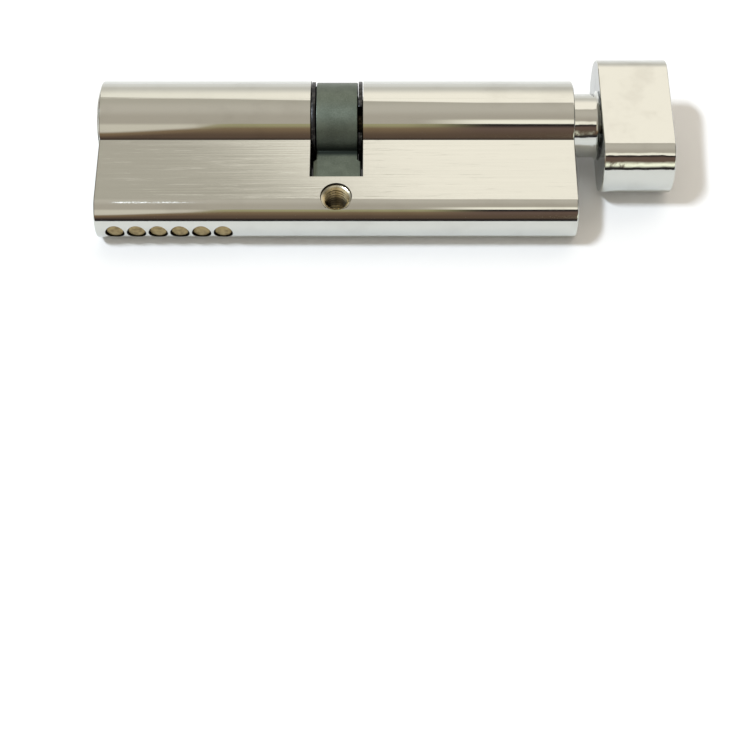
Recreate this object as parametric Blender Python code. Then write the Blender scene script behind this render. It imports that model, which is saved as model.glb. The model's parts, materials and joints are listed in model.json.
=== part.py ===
"""Euro profile cylinder with a keyed plug at one end and a thumbturn at the other.

The pieces are laid out in the profile's own frame: X runs along the plug axis from the key end to the
thumbturn, Y up the profile with the tail at -Y, and Z out of the tail's upper flat. One empty then lays the
cylinder down on a table, resting on its barrel and on the end of its tail.
"""

import math

import bmesh
import bpy

MM = 0.001

# Profile body
HALF_LENGTH = 45.0 * MM
BARREL_RADIUS = 8.5 * MM
PROFILE_HEIGHT = 33.0 * MM
TAIL_THICKNESS = 9.9 * MM
TAIL_END_RADIUS = 5.0 * MM
END_CHAMFER = 0.4 * MM

# Cam slot and the M5 fixing-screw hole
CAM_SLOT_WIDTH = 10.0 * MM
CAM_SLOT_DEPTH = 15.2 * MM
FIXING_DEPTH = 19.6 * MM
FIXING_RADIUS = 2.2 * MM
FIXING_MOUTH_RADIUS = 2.9 * MM
FIXING_MOUTH_DEPTH = 0.7 * MM

# Plugs
PLUG_RADIUS = 6.5 * MM
PLUG_CLEARANCE = 0.1 * MM
PLUG_HEAD_RADIUS = 7.2 * MM
PLUG_HEAD_LENGTH = 1.5 * MM
PLUG_PROUD = 0.4 * MM
NOSE_RADIUS = 5.6 * MM
NOSE_GAP = 0.3 * MM
NOSE_MEETING = -1.0 * MM
SHOULDER_GAP = 0.2 * MM
NECK_RADIUS = 6.1 * MM
SPINDLE_RADIUS = 4.0 * MM
SPINDLE_LENGTH = 9.0 * MM

# Spring clips
CLIP_THICKNESS = 0.7 * MM
CLIP_CLEARANCE = 0.1 * MM
CLIP_RADIUS = 8.2 * MM
CLIP_GROOVE_RADIUS = 4.9 * MM
CLIP_WALL_GAP = 0.2 * MM
CLIP_OPENING = math.radians(34)
KEY_CLIP_OPENS_TO = math.radians(-62)
TURN_CLIP_OPENS_TO = math.radians(30)

# Keyway
KEYWAY_WIDTH = 2.6 * MM
KEYWAY_TOP = 3.9 * MM
KEYWAY_BOTTOM = 4.9 * MM
KEYWAY_END = -8.5 * MM
WARD_HEIGHT = 1.2 * MM
WARD_REACH = 0.8 * MM
UPPER_WARD = 1.2 * MM
LOWER_WARD = -2.3 * MM

# Pin chambers
PIN_COUNT = 6
PIN_PITCH = 4.05 * MM
FIRST_PIN_SETBACK = 3.65 * MM
CHAMBER_RADIUS = 1.7 * MM
PIN_RADIUS = 1.5 * MM
PIN_CHAMFER = 0.2 * MM
PIN_POINT_RADIUS = 0.5 * MM
PIN_POINT_LENGTH = 0.9 * MM
PIN_STOP_DEPTH = 1.0 * MM
KEY_CUTS = (1, 3, 2, 4, 0, 2)
KEY_CUT_STEP = 0.45 * MM
SHORTEST_KEY_PIN = 2.9 * MM
SHEAR_CLEARANCE = 0.2 * MM
DRIVER_LENGTH = 4.75 * MM
SPRING_GAP = 0.25 * MM
CHAMBER_PLUG_RADIUS = 1.64 * MM
CHAMBER_PLUG_LENGTH = 2.0 * MM
CHAMBER_PLUG_RECESS = 0.45 * MM
COIL_RADIUS = 1.15 * MM
WIRE_RADIUS = 0.2 * MM
PIN_SPRING_TURNS = 7

# Cam
CAM_RADIUS = 8.2 * MM
CAM_WIDTH = 7.8 * MM
CAM_BORE_CLEARANCE = 0.15 * MM
LUG_REACH = 14.9 * MM
LUG_THICKNESS = 4.6 * MM
LUG_WIDTH = 9.0 * MM
LUG_STEP = 10.4 * MM
LUG_FILLET = 1.0 * MM
CAM_RELIEF_RADIUS = 7.0 * MM
CAM_WEB_END = 1.2 * MM

# Clutch between the turn plug and the cam
DOG_LENGTH = 13.4 * MM
DOG_HEIGHT = 2.7 * MM
DOG_THICKNESS = 1.8 * MM
DOG_CLEARANCE = 0.15 * MM
DOG_TRAVEL = 2.3 * MM
PUSHER_RADIUS = 1.5 * MM
PUSHER_CLEARANCE = 0.1 * MM
CLUTCH_SPRING_LENGTH = 8.8 * MM
CLUTCH_SPRING_TURNS = 7

# Knob, and how far it is turned from the body's flat in the photograph
KNOB_GAP = 5.2 * MM
KNOB_LENGTH = 13.5 * MM
KNOB_SPAN = 28.4 * MM
KNOB_THICKNESS = 13.0 * MM
KNOB_END_RADIUS = 7.0 * MM
KNOB_CORNER_RADIUS = 4.8 * MM
KNOB_CHAMFER = 0.4 * MM
KNOB_SEAT_GAP = 0.3 * MM
SPINDLE_CLEARANCE = 0.1 * MM
TURN_REST_ANGLE = math.radians(-2.0)
GRUB_RADIUS = 1.95 * MM
GRUB_CLEARANCE = 0.1 * MM
GRUB_LENGTH = 2.1 * MM
GRUB_SEAT = 0.15 * MM
HEX_RADIUS = 1.1 * MM
HEX_DEPTH = 1.2 * MM

# Facets
ROUND_STEPS = 64
SMALL_STEPS = 16
ARC_STEPS = 16
CORNER_STEPS = 6
WIRE_SIDES = 5
COIL_STEPS = 10
PAST = 2.0 * MM

# What follows from those sizes
TAIL_CENTRE = PROFILE_HEIGHT - BARREL_RADIUS - TAIL_END_RADIUS
REST_TILT = math.asin((BARREL_RADIUS - TAIL_END_RADIUS) / TAIL_CENTRE)
BORE_RADIUS = PLUG_RADIUS + PLUG_CLEARANCE
SLOT_SIDE = CAM_SLOT_WIDTH / 2
CLIP_OUTER = SLOT_SIDE - CLIP_WALL_GAP
CLIP_INNER = CLIP_OUTER - CLIP_THICKNESS
KNOB_BACK = HALF_LENGTH + KNOB_GAP
KNOB_FRONT = KNOB_BACK + KNOB_LENGTH
NECK_END = KNOB_BACK - KNOB_SEAT_GAP
SPINDLE_END = NECK_END + SPINDLE_LENGTH
DOG_BACK = NOSE_MEETING + DOG_THICKNESS
DOG_SLOT_END = DOG_BACK + DOG_TRAVEL + 2 * DOG_CLEARANCE
CLUTCH_SPRING_START = DOG_BACK + SPRING_GAP
CLUTCH_SPRING_END = CLUTCH_SPRING_START + CLUTCH_SPRING_LENGTH
KEY_NOSE_END = NOSE_MEETING - NOSE_GAP
PIN_FOOT = PLUG_RADIUS - SHEAR_CLEARANCE
DRIVER_TOP = BORE_RADIUS + SHEAR_CLEARANCE
DRIVER_FOOT = DRIVER_TOP + DRIVER_LENGTH
CHAMBER_PLUG_END = TAIL_CENTRE + TAIL_END_RADIUS - CHAMBER_PLUG_RECESS
CHAMBER_PLUG_START = CHAMBER_PLUG_END - CHAMBER_PLUG_LENGTH

# The lowest point on the table is z = 0, and the box that holds the whole part is centred on X and Y
KNOB_LEAN = REST_TILT + TURN_REST_ANGLE
KNOB_TOP = (KNOB_SPAN / 2 - KNOB_END_RADIUS) * math.cos(KNOB_LEAN) + KNOB_END_RADIUS
TAIL_BOTTOM = TAIL_CENTRE * math.cos(REST_TILT) + TAIL_END_RADIUS
REST_PLACE = (
    (HALF_LENGTH + PLUG_PROUD - KNOB_FRONT) / 2,
    (TAIL_BOTTOM - KNOB_TOP) / 2,
    BARREL_RADIUS,
)


def clear_scene():
    for obj in list(bpy.data.objects):
        bpy.data.objects.remove(obj)


def make_material(name, colour, roughness, metallic=1.0):
    material = bpy.data.materials.new(name)
    material.use_nodes = True
    shader = material.node_tree.nodes["Principled BSDF"]
    shader.inputs["Base Color"].default_value = (*colour, 1.0)
    shader.inputs["Roughness"].default_value = roughness
    shader.inputs["Metallic"].default_value = metallic
    return material


def add_empty(name, parent=None, place=(0, 0, 0), turn=(0, 0, 0)):
    empty = bpy.data.objects.new(name, None)
    empty.parent = parent
    empty.location = place
    empty.rotation_euler = turn
    bpy.context.scene.collection.objects.link(empty)
    return empty


def add_mesh(name, bm, parent, material=None, place=(0, 0, 0), turn=(0, 0, 0)):
    """An object from this bmesh. One with no material is a cutter."""
    bmesh.ops.recalc_face_normals(bm, faces=bm.faces)
    mesh = bpy.data.meshes.new(name)
    bm.to_mesh(mesh)
    bm.free()
    obj = bpy.data.objects.new(name, mesh)
    obj.parent = parent
    obj.location = place
    obj.rotation_euler = turn
    bpy.context.scene.collection.objects.link(obj)
    if material:
        mesh.materials.append(material)
    else:
        obj.hide_render = True
        obj.display_type = "WIRE"
    return obj


def cut(target, cutter, operation="DIFFERENCE"):
    modifier = target.modifiers.new(cutter.name, "BOOLEAN")
    modifier.object = cutter
    modifier.operation = operation
    modifier.solver = "EXACT"


def bridge(bm, rings):
    """Closes a row of equal rings of corners into one solid."""
    loops = [[bm.verts.new(corner) for corner in ring] for ring in rings]
    count = len(loops[0])
    for first, second in zip(loops, loops[1:]):
        for i in range(count):
            j = (i + 1) % count
            bm.faces.new((first[i], first[j], second[j], second[i]))
    bm.faces.new(reversed(loops[0]))
    bm.faces.new(loops[-1])


def lathe(profile, steps, bm=None):
    """Turns (x, radius) points about the X axis. Both ends are closed by flat faces."""
    bm = bm or bmesh.new()
    angles = [2 * math.pi * i / steps for i in range(steps)]
    bridge(bm, [[(x, r * math.cos(a), r * math.sin(a)) for a in angles] for x, r in profile])
    return bm


def prism(outline, start, end):
    """Extrudes (y, z) points along X."""
    bm = bmesh.new()
    bridge(bm, [[(x, y, z) for y, z in outline] for x in (start, end)])
    return bm


def box(low, high):
    bottom = [(low[1], low[2]), (high[1], low[2]), (high[1], high[2]), (low[1], high[2])]
    return prism(bottom, low[0], high[0])


def arc(centre_y, radius, start, end, steps, centre_z=0.0):
    """(y, z) points of an arc, by angles from +Y towards +Z."""
    turns = [start + (end - start) * i / steps for i in range(steps + 1)]
    return [(centre_y + radius * math.cos(a), centre_z + radius * math.sin(a)) for a in turns]


def coil(radius, wire, start, end, turns):
    """A round wire wound about the X axis, its outside reaching from start to end."""
    bm = bmesh.new()
    count = turns * COIL_STEPS
    rings = []
    for i in range(count + 1):
        angle = 2 * math.pi * i / COIL_STEPS
        middle = start + wire + (end - start - 2 * wire) * i / count
        ring = []
        for j in range(WIRE_SIDES):
            side = 2 * math.pi * j / WIRE_SIDES
            out = radius + wire * math.cos(side)
            along = middle + wire * math.sin(side)
            ring.append((along, out * math.cos(angle), out * math.sin(angle)))
        rings.append(ring)
    bridge(bm, rings)
    return bm


def profile_outline(inset):
    """The euro profile, drawn in by inset: barrel, two flats and the rounded tail end."""
    half = TAIL_THICKNESS / 2 - inset
    barrel = BARREL_RADIUS - inset
    tail = TAIL_END_RADIUS - inset
    join = math.pi - math.asin(half / barrel)
    end = math.asin(half / tail)
    points = arc(0, barrel, -join, join, 3 * ARC_STEPS)
    points += arc(-TAIL_CENTRE, tail, math.pi - end, math.pi + end, ARC_STEPS + 2)
    return points


def knob_outline(inset):
    """Two flats and two bowed ends, with a softened corner between each flat and end."""
    corner = KNOB_CORNER_RADIUS - inset
    bow = KNOB_SPAN / 2 - KNOB_END_RADIUS
    rise = KNOB_THICKNESS / 2 - KNOB_CORNER_RADIUS
    lean = math.asin(rise / (KNOB_END_RADIUS - KNOB_CORNER_RADIUS))
    reach = bow + rise / math.tan(lean)
    half = arc(reach, corner, -math.pi / 2, -lean, CORNER_STEPS, -rise)
    half += arc(bow, KNOB_END_RADIUS - inset, -lean, lean, ARC_STEPS)[1:-1]
    half += arc(reach, corner, lean, math.pi / 2, CORNER_STEPS, rise)
    return half + [(-y, -z) for y, z in half]


def chamfered(outline, start, end, chamfer):
    """Extrudes an outline along X with a chamfer round both ends."""
    bm = bmesh.new()
    stations = ((start, chamfer), (start + chamfer, 0), (end - chamfer, 0), (end, chamfer))
    bridge(bm, [[(x, y, z) for y, z in outline(inset)] for x, inset in stations])
    return bm


def pin_places():
    return [-HALF_LENGTH + FIRST_PIN_SETBACK + i * PIN_PITCH for i in range(PIN_COUNT)]


def chamber_cutter(name, parent, start, end):
    """Six holes square to the plug axis, from one depth below it to another."""
    bm = bmesh.new()
    angles = [2 * math.pi * i / SMALL_STEPS for i in range(SMALL_STEPS)]
    for x in pin_places():
        rings = []
        for depth in (start, end):
            rings.append(
                [(x + CHAMBER_RADIUS * math.cos(a), -depth, CHAMBER_RADIUS * math.sin(a)) for a in angles]
            )
        bridge(bm, rings)
    return add_mesh(name, bm, parent)


def make_body(rest, nickel):
    body = add_mesh(
        "cylinder_body", chamfered(profile_outline, -HALF_LENGTH, HALF_LENGTH, END_CHAMFER), rest, nickel
    )
    seat = HALF_LENGTH - PLUG_HEAD_LENGTH - PLUG_CLEARANCE
    head = PLUG_HEAD_RADIUS + PLUG_CLEARANCE
    far = HALF_LENGTH + PAST
    bore = [(-far, head), (-seat, head), (-seat, BORE_RADIUS), (seat, BORE_RADIUS), (seat, head), (far, head)]
    cut(body, add_mesh("plug_bore_cutter", lathe(bore, ROUND_STEPS), rest))
    slot_low = (-SLOT_SIDE, -CAM_SLOT_DEPTH, -BARREL_RADIUS - PAST)
    slot_high = (SLOT_SIDE, BARREL_RADIUS + PAST, BARREL_RADIUS + PAST)
    cut(body, add_mesh("cam_slot_cutter", box(slot_low, slot_high), rest))
    cut(body, chamber_cutter("chamber_cutter", rest, 0, PROFILE_HEIGHT))
    face = TAIL_THICKNESS / 2
    throat = face - FIXING_MOUTH_DEPTH
    spread = (FIXING_MOUTH_RADIUS - FIXING_RADIUS) / FIXING_MOUTH_DEPTH
    wide = FIXING_MOUTH_RADIUS + PAST * spread
    hole = [
        (-face - PAST, wide),
        (-throat, FIXING_RADIUS),
        (throat, FIXING_RADIUS),
        (face + PAST, wide),
    ]
    upright = (0, -math.pi / 2, 0)
    place = (0, -FIXING_DEPTH, 0)
    cut(body, add_mesh("fixing_hole_cutter", lathe(hole, 2 * SMALL_STEPS), rest, None, place, upright))


def nose_profile(side, tip):
    """The grooved nose of a plug from its tip outwards, on one side of the cam."""
    groove_in = side * (CLIP_INNER - CLIP_CLEARANCE)
    groove_out = side * (CLIP_OUTER + CLIP_CLEARANCE)
    shoulder = side * (SLOT_SIDE + SHOULDER_GAP)
    return [
        (tip, NOSE_RADIUS),
        (groove_in, NOSE_RADIUS),
        (groove_in, CLIP_GROOVE_RADIUS),
        (groove_out, CLIP_GROOVE_RADIUS),
        (groove_out, NOSE_RADIUS),
        (shoulder, NOSE_RADIUS),
        (shoulder, PLUG_RADIUS),
        (side * (HALF_LENGTH - PLUG_HEAD_LENGTH), PLUG_RADIUS),
        (side * (HALF_LENGTH - PLUG_HEAD_LENGTH), PLUG_HEAD_RADIUS),
    ]


def keyway_outline():
    """A slot with a ward on each side that keeps other keys out."""
    side = KEYWAY_WIDTH / 2
    inner = side - WARD_REACH
    half = WARD_HEIGHT / 2
    return [
        (KEYWAY_TOP, -side),
        (KEYWAY_TOP, side),
        (UPPER_WARD + half, side),
        (UPPER_WARD + half, inner),
        (UPPER_WARD - half, inner),
        (UPPER_WARD - half, side),
        (-KEYWAY_BOTTOM, side),
        (-KEYWAY_BOTTOM, -side),
        (LOWER_WARD - half, -side),
        (LOWER_WARD - half, -inner),
        (LOWER_WARD + half, -inner),
        (LOWER_WARD + half, -side),
    ]


def make_key_plug(axis, nickel):
    front = -HALF_LENGTH - PLUG_PROUD
    profile = nose_profile(-1, KEY_NOSE_END) + [(front, PLUG_HEAD_RADIUS)]
    plug = add_mesh("key_plug", lathe(profile, ROUND_STEPS), axis, nickel)
    keyway = prism(keyway_outline(), front - PAST, KEYWAY_END)
    cut(plug, add_mesh("keyway_cutter", keyway, axis))
    cut(plug, chamber_cutter("plug_pin_cutter", axis, PIN_STOP_DEPTH, PLUG_RADIUS + PAST))
    hole = PUSHER_RADIUS + PUSHER_CLEARANCE
    pusher_hole = [(KEYWAY_END - PAST / 2, hole), (KEY_NOSE_END + PAST, hole)]
    cut(plug, add_mesh("pusher_hole_cutter", lathe(pusher_hole, SMALL_STEPS), axis))


def make_turn_plug(axis, nickel):
    profile = nose_profile(1, NOSE_MEETING) + [
        (HALF_LENGTH, PLUG_HEAD_RADIUS),
        (HALF_LENGTH, NECK_RADIUS),
        (NECK_END, NECK_RADIUS),
        (NECK_END, SPINDLE_RADIUS),
        (SPINDLE_END, SPINDLE_RADIUS),
    ]
    plug = add_mesh("turn_plug", lathe(profile, ROUND_STEPS), axis, nickel)
    side = DOG_HEIGHT / 2 + DOG_CLEARANCE
    slot = box((NOSE_MEETING - PAST, -side, -PLUG_RADIUS), (DOG_SLOT_END, side, PLUG_RADIUS))
    cut(plug, add_mesh("dog_slot_cutter", slot, axis))
    hole = COIL_RADIUS + WIRE_RADIUS + PLUG_CLEARANCE
    spring_hole = [(NOSE_MEETING, hole), (CLUTCH_SPRING_END + SPRING_GAP, hole)]
    cut(plug, add_mesh("spring_hole_cutter", lathe(spring_hole, SMALL_STEPS), axis))


def make_clip(name, axis, side, opens_to, steel):
    """A flat spring clip, open on one side. opens_to is measured from +Z towards the tail."""
    middle = math.pi / 2 + opens_to
    start = middle + CLIP_OPENING / 2
    end = middle + 2 * math.pi - CLIP_OPENING / 2
    inner = CLIP_GROOVE_RADIUS + CLIP_CLEARANCE
    outline = arc(0, CLIP_RADIUS, start, end, 3 * ARC_STEPS)
    outline += arc(0, inner, end, start, 3 * ARC_STEPS)
    add_mesh(name, prism(outline, side * CLIP_INNER, side * CLIP_OUTER), axis, steel)


def make_cam(axis, iron):
    half = LUG_THICKNESS / 2
    tip = math.asin(half / LUG_REACH)
    side = half + LUG_FILLET
    lean = math.asin(side / (CAM_RADIUS + LUG_FILLET))
    foot = -side / math.tan(lean)
    outline = arc(0, CAM_RADIUS, -math.pi + lean, math.pi - lean, 3 * ARC_STEPS)
    outline += arc(foot, LUG_FILLET, -lean, -math.pi / 2, CORNER_STEPS, side)
    outline += arc(0, LUG_REACH, math.pi - tip, math.pi + tip, 4)
    outline += arc(foot, LUG_FILLET, math.pi / 2, lean, CORNER_STEPS, -side)
    cam = add_mesh("cam", prism(outline, -CAM_WIDTH / 2, CAM_WIDTH / 2), axis, iron)
    wide = arc(0, LUG_REACH, math.pi - tip, math.pi + tip, 4) + [(-LUG_STEP, -half), (-LUG_STEP, half)]
    cut(cam, add_mesh("lug_tip_union", prism(wide, -LUG_WIDTH / 2, LUG_WIDTH / 2), axis), "UNION")
    bore = NOSE_RADIUS + CAM_BORE_CLEARANCE
    hole = [
        (-CAM_WIDTH, bore),
        (CAM_WEB_END, bore),
        (CAM_WEB_END, CAM_RELIEF_RADIUS),
        (CAM_WIDTH, CAM_RELIEF_RADIUS),
    ]
    cut(cam, add_mesh("cam_bore_cutter", lathe(hole, ROUND_STEPS), axis))
    side = DOG_HEIGHT / 2 + DOG_CLEARANCE
    reach = DOG_LENGTH / 2 + DOG_CLEARANCE
    notch = box((-CAM_WIDTH, -side, -reach), (CAM_WEB_END, side, reach))
    cut(cam, add_mesh("dog_notch_cutter", notch, axis))


def make_clutch(turn_axis, key_axis, steel, spring_steel):
    half = DOG_HEIGHT / 2
    reach = DOG_LENGTH / 2
    dog = box((NOSE_MEETING, -half, -reach), (DOG_BACK, half, reach))
    add_mesh("clutch_dog", dog, turn_axis, steel)
    spring = coil(COIL_RADIUS, WIRE_RADIUS, CLUTCH_SPRING_START, CLUTCH_SPRING_END, CLUTCH_SPRING_TURNS)
    add_mesh("clutch_spring", spring, turn_axis, spring_steel)
    pusher = [(KEYWAY_END + PIN_CHAMFER, PUSHER_RADIUS), (KEY_NOSE_END, PUSHER_RADIUS)]
    add_mesh("clutch_pusher", lathe(pusher, SMALL_STEPS), key_axis, steel)


def make_pin_stacks(rest, key_axis, brass, spring_steel):
    """Each chamber from the plug outwards: key pin, driver pin, spring and the plug that closes it."""
    outwards = (0, 0, -math.pi / 2)
    for number, (x, depth_of_cut) in enumerate(zip(pin_places(), KEY_CUTS), 1):
        place = (x, 0, 0)
        point = PIN_FOOT - SHORTEST_KEY_PIN - depth_of_cut * KEY_CUT_STEP
        key_pin = [
            (point, PIN_POINT_RADIUS),
            (point + PIN_POINT_LENGTH, PIN_RADIUS),
            (PIN_FOOT - PIN_CHAMFER, PIN_RADIUS),
            (PIN_FOOT, PIN_RADIUS - PIN_CHAMFER),
        ]
        add_mesh(f"key_pin_{number}", lathe(key_pin, SMALL_STEPS), key_axis, brass, place, outwards)
        driver = [
            (DRIVER_TOP, PIN_RADIUS - PIN_CHAMFER),
            (DRIVER_TOP + PIN_CHAMFER, PIN_RADIUS),
            (DRIVER_FOOT - PIN_CHAMFER, PIN_RADIUS),
            (DRIVER_FOOT, PIN_RADIUS - PIN_CHAMFER),
        ]
        add_mesh(f"driver_pin_{number}", lathe(driver, SMALL_STEPS), rest, brass, place, outwards)
        spring = coil(
            COIL_RADIUS,
            WIRE_RADIUS,
            DRIVER_FOOT + SPRING_GAP,
            CHAMBER_PLUG_START - SPRING_GAP,
            PIN_SPRING_TURNS,
        )
        add_mesh(f"pin_spring_{number}", spring, rest, spring_steel, place, outwards)
        closer = [(CHAMBER_PLUG_START, CHAMBER_PLUG_RADIUS), (CHAMBER_PLUG_END, CHAMBER_PLUG_RADIUS)]
        add_mesh(f"chamber_plug_{number}", lathe(closer, SMALL_STEPS), rest, brass, place, outwards)


def make_knob(axis, nickel, steel):
    knob = add_mesh("thumbturn_knob", chamfered(knob_outline, KNOB_BACK, KNOB_FRONT, KNOB_CHAMFER), axis, nickel)
    hole = SPINDLE_RADIUS + SPINDLE_CLEARANCE
    seat = [(KNOB_BACK - PAST, hole), (SPINDLE_END + KNOB_SEAT_GAP, hole)]
    cut(knob, add_mesh("spindle_hole_cutter", lathe(seat, 2 * SMALL_STEPS), axis))
    downwards = (0, math.pi / 2, 0)
    place = ((KNOB_BACK + SPINDLE_END) / 2, 0, 0)
    grub_start = SPINDLE_RADIUS + GRUB_SEAT
    grub_end = grub_start + GRUB_LENGTH
    wide = GRUB_RADIUS + GRUB_CLEARANCE
    thread = [(0, wide), (KNOB_THICKNESS / 2 + PAST, wide)]
    cut(knob, add_mesh("grub_hole_cutter", lathe(thread, SMALL_STEPS), axis, None, place, downwards))
    screw = [(grub_start, GRUB_RADIUS), (grub_end, GRUB_RADIUS)]
    grub = add_mesh("knob_grub_screw", lathe(screw, SMALL_STEPS), axis, steel, place, downwards)
    socket = [(grub_end - HEX_DEPTH, HEX_RADIUS), (grub_end + PAST, HEX_RADIUS)]
    cut(grub, add_mesh("hex_socket_cutter", lathe(socket, 6), axis, None, place, downwards))


def main():
    clear_scene()
    nickel = make_material("bright_nickel", (0.72, 0.70, 0.65), 0.12)
    brass = make_material("brass", (0.62, 0.47, 0.24), 0.35)
    iron = make_material("dark_sintered_iron", (0.07, 0.075, 0.065), 0.6)
    steel = make_material("dark_steel", (0.12, 0.12, 0.12), 0.4)
    spring_steel = make_material("spring_steel", (0.55, 0.55, 0.56), 0.25)
    rest = add_empty("cylinder_rest", None, REST_PLACE, (REST_TILT, 0, 0))
    key_axis = add_empty("key_plug_axis", rest)
    turn_axis = add_empty("thumbturn_axis", rest, (0, 0, 0), (TURN_REST_ANGLE, 0, 0))
    cam_axis = add_empty("cam_axis", rest, (0, 0, 0), (TURN_REST_ANGLE, 0, 0))
    make_body(rest, nickel)
    make_key_plug(key_axis, nickel)
    make_turn_plug(turn_axis, nickel)
    make_clip("key_plug_clip", key_axis, -1, KEY_CLIP_OPENS_TO, steel)
    make_clip("turn_plug_clip", turn_axis, 1, TURN_CLIP_OPENS_TO, steel)
    make_cam(cam_axis, iron)
    make_clutch(turn_axis, key_axis, steel, spring_steel)
    make_pin_stacks(rest, key_axis, brass, spring_steel)
    make_knob(turn_axis, nickel, steel)
    bpy.context.view_layer.update()


main()
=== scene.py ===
# %% [markdown]
# # Dressing a euro cylinder
#
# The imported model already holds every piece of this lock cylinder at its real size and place. Here each
# piece is modelled again with fine, smooth surfaces and given its real finish: bright plate, bare brass,
# dark sintered iron, blackened steel and drawn wire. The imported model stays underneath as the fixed
# frame, so nothing here is moved or resized.

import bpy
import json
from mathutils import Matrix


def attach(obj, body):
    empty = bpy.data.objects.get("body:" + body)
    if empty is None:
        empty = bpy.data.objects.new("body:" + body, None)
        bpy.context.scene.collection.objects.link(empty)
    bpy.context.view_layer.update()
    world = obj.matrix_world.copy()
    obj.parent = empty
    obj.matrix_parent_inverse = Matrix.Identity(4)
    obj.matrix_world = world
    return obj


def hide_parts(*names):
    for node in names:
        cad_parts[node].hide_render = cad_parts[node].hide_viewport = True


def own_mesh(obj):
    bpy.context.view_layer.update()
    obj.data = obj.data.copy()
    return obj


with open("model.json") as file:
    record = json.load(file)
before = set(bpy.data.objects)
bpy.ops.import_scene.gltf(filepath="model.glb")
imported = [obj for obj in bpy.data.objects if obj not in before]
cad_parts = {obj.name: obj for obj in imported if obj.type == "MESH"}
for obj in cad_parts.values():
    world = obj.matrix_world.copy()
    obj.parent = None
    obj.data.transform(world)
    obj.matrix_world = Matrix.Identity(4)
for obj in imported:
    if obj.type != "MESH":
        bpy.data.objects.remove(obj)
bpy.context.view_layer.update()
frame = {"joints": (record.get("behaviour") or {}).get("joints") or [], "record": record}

# %% [markdown]
# ## Where the cylinder lies
#
# The cylinder rests on its round barrel and on the end of its thinner tail, so its flats lean a little.
# Every piece is drawn in the profile's own frame, with X along the plug axis, Y up the profile and Z out
# of the tail's upper flat, and then laid down by one turn and one shift. Both are read from the frame:
# the axis from a joint, the lean from the mount on the upper flat, and the knob's extra turn from the
# flank of the cam's lug.

# %% Read the plug axis and the lean
import json
import math

import bpy
from mathutils import Vector

MM = 0.001
joints = {joint["name"]: joint for joint in frame["joints"]}
mounts = {mount["name"]: mount for mount in frame["record"]["mounts"]}
PLUG_AXIS = Vector(joints["thumbturn_turn"]["pos_m"])
flat_out = Vector(mounts["tail_flat_upper"]["axis"])
lug_out = Vector(mounts["cam_lug_flank"]["axis"])
LEAN = math.atan2(-flat_out.y, flat_out.z)
KNOB_TURN = math.atan2(-lug_out.y, lug_out.z) - LEAN
print(f"lean {math.degrees(LEAN):.2f} deg, knob turned {math.degrees(KNOB_TURN):.2f} deg")

# %% [markdown]
# ## Camera
#
# The long edges of the body converge only slightly, so the view is through a fairly long lens, looking
# down at about 53 degrees. The aim is a point on the table in front of the plug axis, which leaves the
# cylinder in the upper third of the picture.

# %% Set the camera
VIEW_ELEVATION = math.radians(52.62)
VIEW_AIM = Vector((PLUG_AXIS.x + 7.7 * MM, PLUG_AXIS.y - 54.7 * MM, 0.0))
VIEW_DISTANCE = 276.9 * MM
VIEW_LENS = 74.6

bpy.ops.object.camera_add()
camera = bpy.context.object
towards_camera = Vector((0, -math.cos(VIEW_ELEVATION), math.sin(VIEW_ELEVATION)))
camera.location = VIEW_AIM + VIEW_DISTANCE * towards_camera
camera.rotation_euler = (math.pi / 2 - VIEW_ELEVATION, 0, 0)
camera.data.lens = VIEW_LENS
camera.data.clip_start = 1 * MM
bpy.context.scene.camera = camera
bpy.context.scene.view_settings.view_transform = "Standard"
print("camera at", [round(value, 4) for value in camera.location])

# %% [markdown]
# ## Shader sums
#
# A material's maths is easier to read as a sum than as a wall of boxes. This small class wraps one socket
# of a node tree: adding or multiplying it makes a Math node, and `node` makes any other node from its
# type, its settings and what goes into its sockets.


# %% A class for shader sums
class Wire:
    """One value in a node tree."""

    def __init__(self, tree, socket=None):
        self.tree = tree
        self.socket = socket

    def node(self, kind, settings=None, sockets=None, output=0):
        made = self.tree.nodes.new("ShaderNode" + kind)
        for name, value in (settings or {}).items():
            setattr(made, name, value)
        for name, value in (sockets or {}).items():
            self.feed(made.inputs[name], value)
        return Wire(self.tree, made.outputs[output])

    def feed(self, socket, value):
        if isinstance(value, Wire):
            self.tree.links.new(value.socket, socket)
        else:
            socket.default_value = value

    def part(self, name):
        """Another output of the same node."""
        return Wire(self.tree, self.socket.node.outputs[name])

    def sum(self, operation, *values):
        return self.node("Math", {"operation": operation}, dict(enumerate(values)))

    def __add__(self, other):
        return self.sum("ADD", self, other)

    def __sub__(self, other):
        return self.sum("SUBTRACT", self, other)

    def __rsub__(self, other):
        return self.sum("SUBTRACT", other, self)

    def __mul__(self, other):
        return self.sum("MULTIPLY", self, other)

    __radd__ = __add__
    __rmul__ = __mul__

    def step(self, low, high):
        """A soft step from 0 to 1 as the value goes from low to high."""
        limits = {"Value": self, "From Min": low, "From Max": high}
        return self.node("MapRange", {"interpolation_type": "SMOOTHSTEP"}, limits)

    def mix(self, first, second):
        """A colour from first to second as the value goes from 0 to 1."""
        return self.node("Mix", {"data_type": "RGBA"}, {0: self, 6: first, 7: second}, 2)


def rgb(red, green, blue):
    return (red, green, blue, 1.0)


print("shader sums ready")

# %% [markdown]
# ## Light tent
#
# Polished plate has hardly any colour of its own: it shows the room. A photographer of bright metal
# therefore builds a room for it. This one is a half tunnel along the plug axis that glows from inside. It
# lights the piece and shows in the plate, but the camera itself doesn't see it.

# %% Build the light tent
TENT_RADIUS = 0.7
TENT_LENGTH = 8.0
TENT_FOOT = -1 * MM
ALONG_X = (0, math.pi / 2, 0)

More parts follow.
